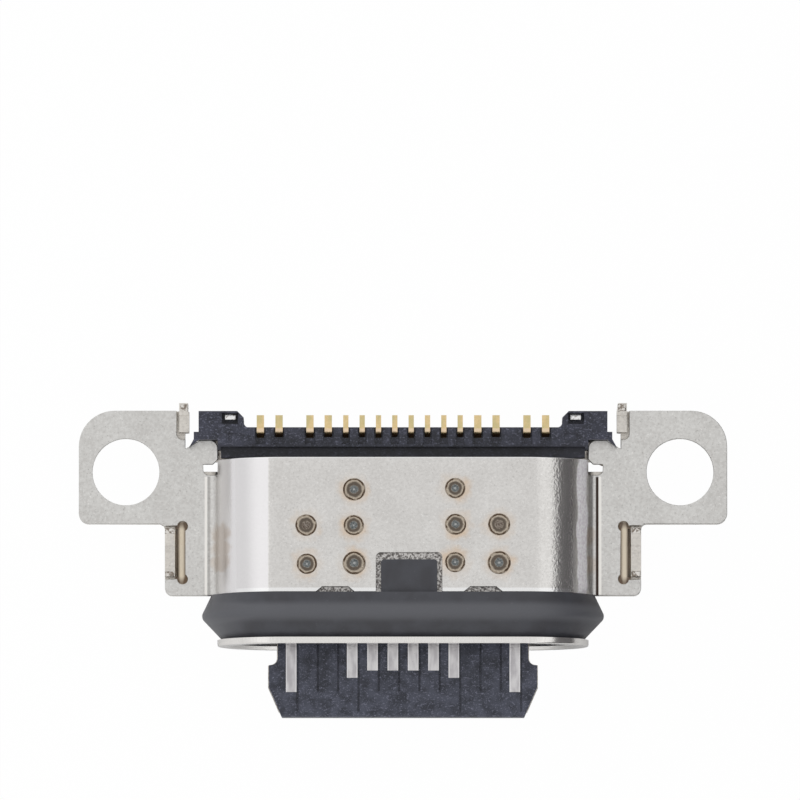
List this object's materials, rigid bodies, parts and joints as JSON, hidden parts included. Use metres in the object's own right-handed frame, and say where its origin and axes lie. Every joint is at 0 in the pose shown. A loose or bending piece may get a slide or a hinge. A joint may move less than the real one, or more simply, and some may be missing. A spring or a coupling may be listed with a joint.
{
  "type": "charging port connector",
  "caption": "Flat reversible charging port with a flanged steel shell, rubber gasket, formed sheet brackets with screw ears, and a row of solder tails.",
  "frame": {"origin": "midway between the two ear holes, on the plane where the two sheets of the ears meet", "axes": "+X across the port, +Y from the tongue towards the solder tails, +Z out of the face with the gasket key and the solder tails"},
  "size_m": [0.016, 0.0077, 0.0042],
  "materials": {
    "shell_steel": "drawn and polished steel",
    "sheet_steel": "satin nickel-plated sheet with a fine speckle, spot-weld rings and heat tint",
    "gasket_rubber": "dull moulded rubber",
    "housing_plastic": "glass-filled moulding with a fibre speckle",
    "plate_steel": "stamped steel",
    "contact_metal": "gold-plated tails with pale plated pads",
    "seal_resin": "cured potting"
  },
  "bodies": {
    "root": {"inner_shell": "shell_steel", "top_bracket": "sheet_steel", "bottom_bracket": "sheet_steel", "gasket": "gasket_rubber", "mid_plate": "plate_steel", "tongue_moulding": "housing_plastic", "upper_root_plate": "plate_steel", "lower_root_plate": "plate_steel", "rear_seal": "seal_resin", "rear_housing": "housing_plastic", "upper_contact_1": "contact_metal", "upper_contact_2": "contact_metal", "upper_contact_3": "contact_metal", "upper_contact_4": "contact_metal", "upper_contact_5": "contact_metal", "upper_contact_6": "contact_metal", "upper_contact_7": "contact_metal", "upper_contact_8": "contact_metal", "lower_contact_1": "contact_metal", "lower_contact_2": "contact_metal", "lower_contact_3": "contact_metal", "lower_contact_4": "contact_metal", "lower_contact_5": "contact_metal", "lower_contact_6": "contact_metal", "lower_contact_7": "contact_metal", "lower_contact_8": "contact_metal"}
  },
  "joints": []
}
